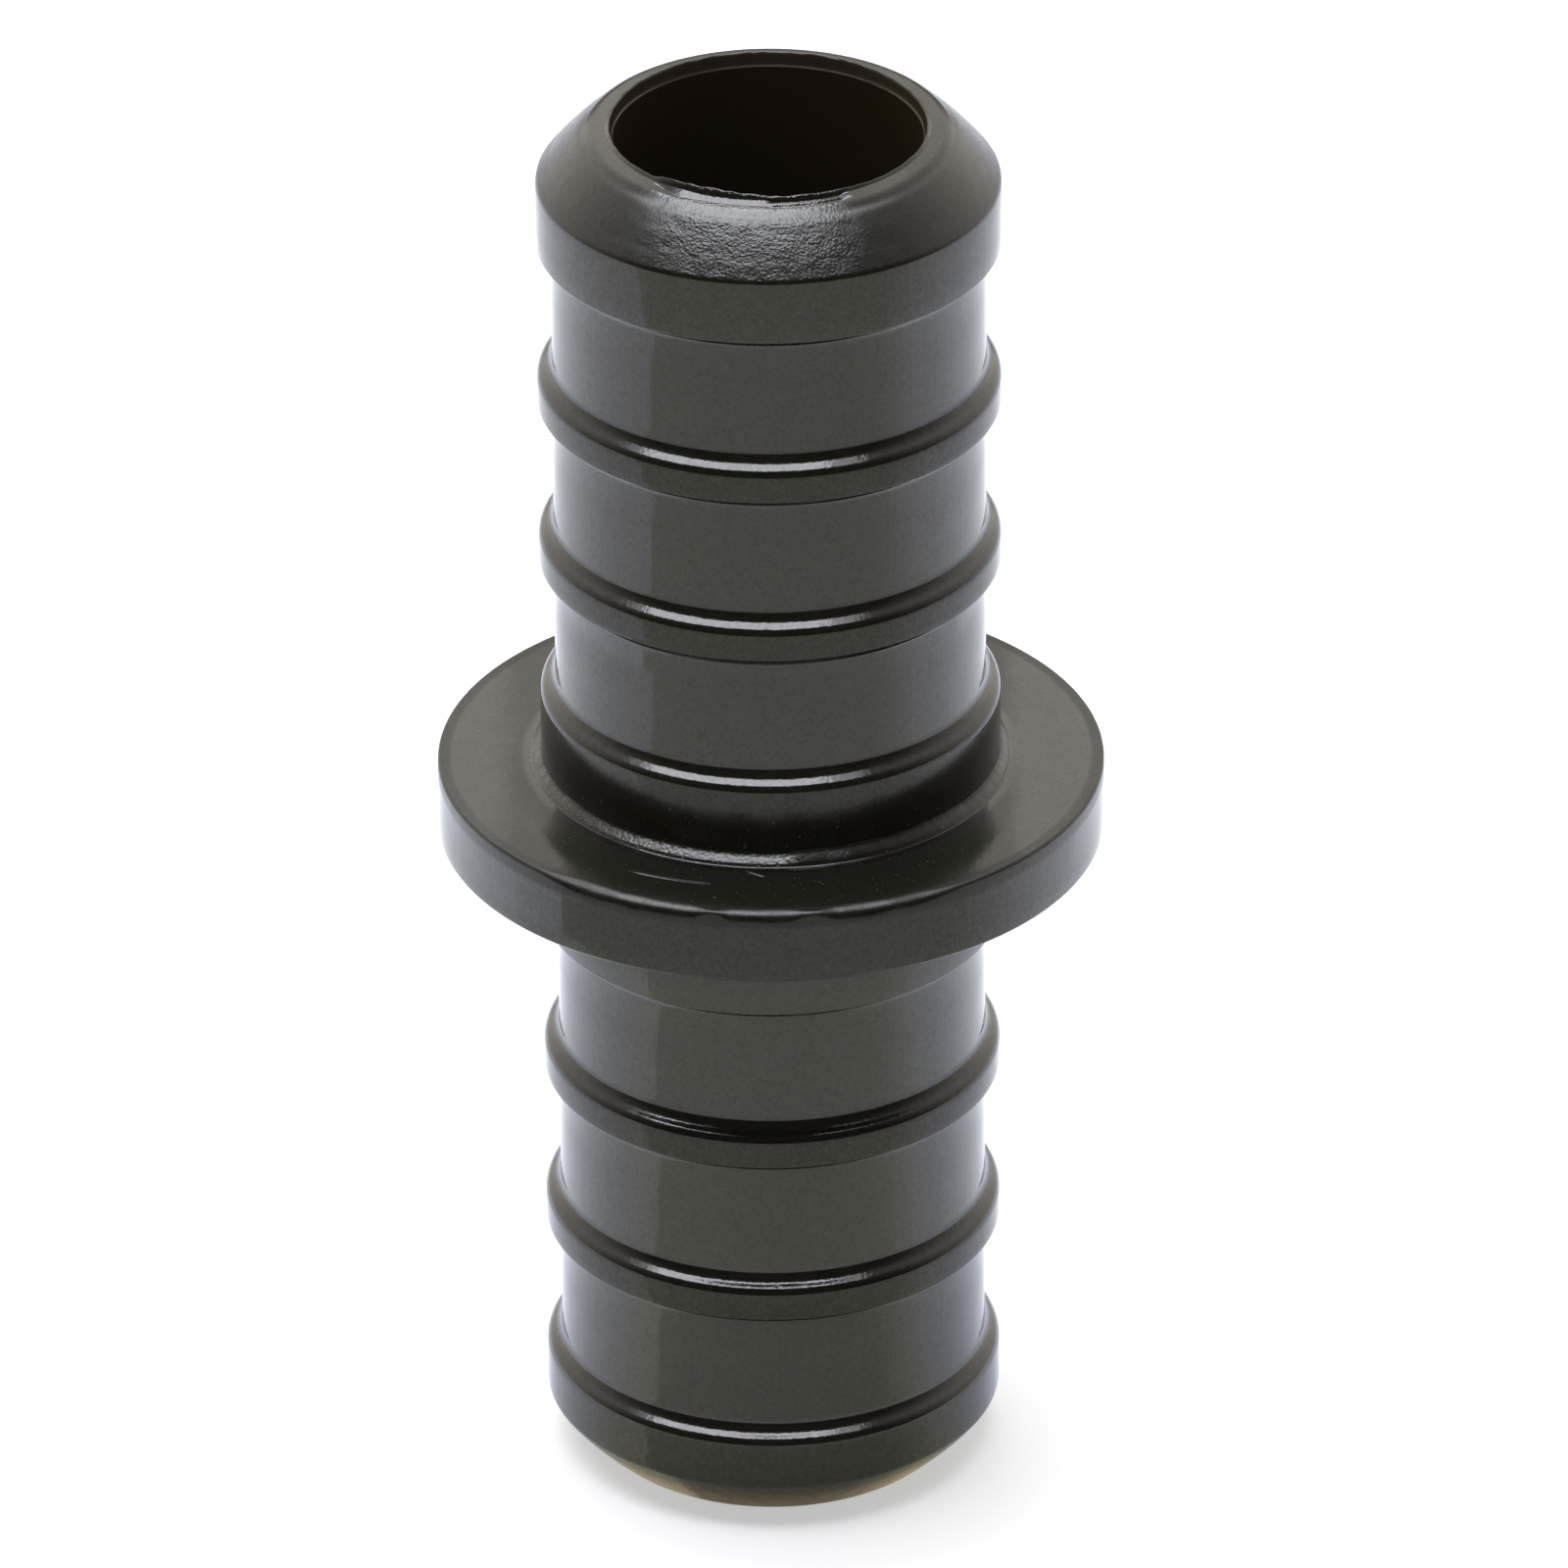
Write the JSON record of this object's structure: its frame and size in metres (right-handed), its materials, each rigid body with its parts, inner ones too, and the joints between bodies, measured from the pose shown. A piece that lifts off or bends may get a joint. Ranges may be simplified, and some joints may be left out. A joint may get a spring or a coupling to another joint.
{
  "type": "pex coupling",
  "caption": "One-piece plastic pipe coupling with ribbed insert spigots back to back on a round stop flange and a bore right through.",
  "frame": {"origin": "centre of the round flange, on the axis of the bore", "axes": "+Z along the bore, up through the spigot that is on top as the part stands on end; X and Y are any two directions across it"},
  "size_m": [0.0176, 0.0176, 0.039],
  "materials": {
    "body_plastic": "satin moulded, near black with a trace of brown"
  },
  "bodies": {
    "root": {"coupling_body": "body_plastic"}
  },
  "joints": []
}
